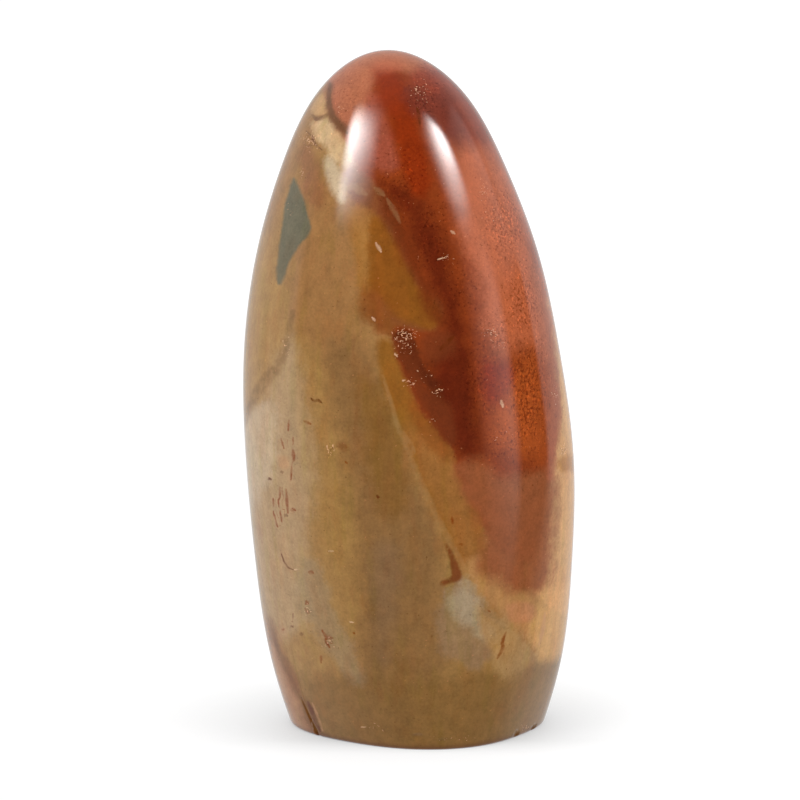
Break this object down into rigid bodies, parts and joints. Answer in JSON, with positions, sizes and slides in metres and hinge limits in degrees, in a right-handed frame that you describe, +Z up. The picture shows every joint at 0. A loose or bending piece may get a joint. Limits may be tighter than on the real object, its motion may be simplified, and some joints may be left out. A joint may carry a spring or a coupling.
{
  "type": "polished jasper freeform",
  "caption": "Tall round-topped polished stone that stands on its flat sawn base, with red, ochre, cream and olive jasper colours.",
  "frame": {"origin": "on the flat sawn underside, below the middle of the stone's width and depth", "axes": "+Z up along the stone's height, +X to the right seen from the front, the front with the red band looks along -Y"},
  "size_m": [0.0627, 0.0518, 0.1294],
  "materials": {
    "jasper": "polished"
  },
  "bodies": {
    "root": {"jasper_stone": "jasper"}
  },
  "joints": []
}
